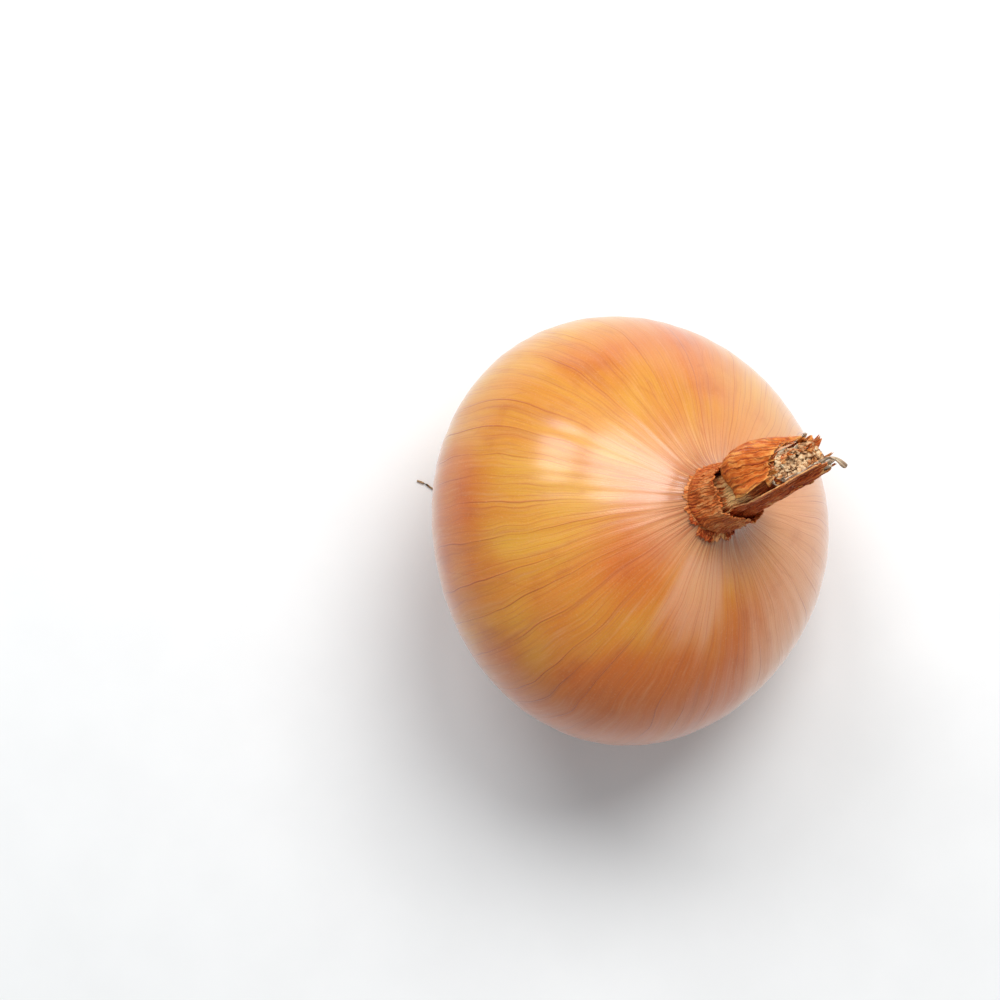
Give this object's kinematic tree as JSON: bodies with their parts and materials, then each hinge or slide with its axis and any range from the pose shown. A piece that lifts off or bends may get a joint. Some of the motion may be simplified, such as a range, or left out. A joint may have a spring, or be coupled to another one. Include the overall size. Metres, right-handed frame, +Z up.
{
  "type": "onion",
  "caption": "Dry yellow onion bulb with papery skin, a bent dried neck with torn sheaths, a corky root plate and a fan of dry roots, resting tilted on its flank.",
  "frame": {"origin": "On the table, at the middle of the small flat spot low on the bulb's flank that it rests on.", "axes": "+Z up. +X is the way the onion leans, so the neck is at +X and the root plate at -X. +Y completes the right-handed frame."},
  "size_m": [0.0801, 0.0848, 0.0863],
  "materials": {
    "skin": "thin golden-orange onion skin, fine lengthwise veins, waxy satin gloss",
    "dry_sheath": "dry papery leaf sheath, red-brown, lengthwise fibres, torn edges",
    "dry_pith": "crumbly dried pith at the cut end, beige and grey-brown, matt",
    "cork": "rough corky root plate, dull brown",
    "dry_root": "dry straw-brown root wires, matt"
  },
  "bodies": {
    "root": {"bulb": "skin", "root_plate": "cork", "neck_core": "dry_pith", "neck_collar": "dry_sheath", "neck_upper_sheath": "dry_sheath", "neck_lower_sheath": "dry_sheath", "neck_under_sheath": "dry_sheath", "neck_tip_curl": "dry_sheath", "root_01": "dry_root", "root_02": "dry_root", "root_03": "dry_root", "root_04": "dry_root", "root_05": "dry_root", "root_06": "dry_root", "root_07": "dry_root", "root_08": "dry_root", "root_09": "dry_root", "root_10": "dry_root", "root_11": "dry_root", "root_12": "dry_root", "root_13": "dry_root", "root_14": "dry_root"}
  },
  "joints": []
}
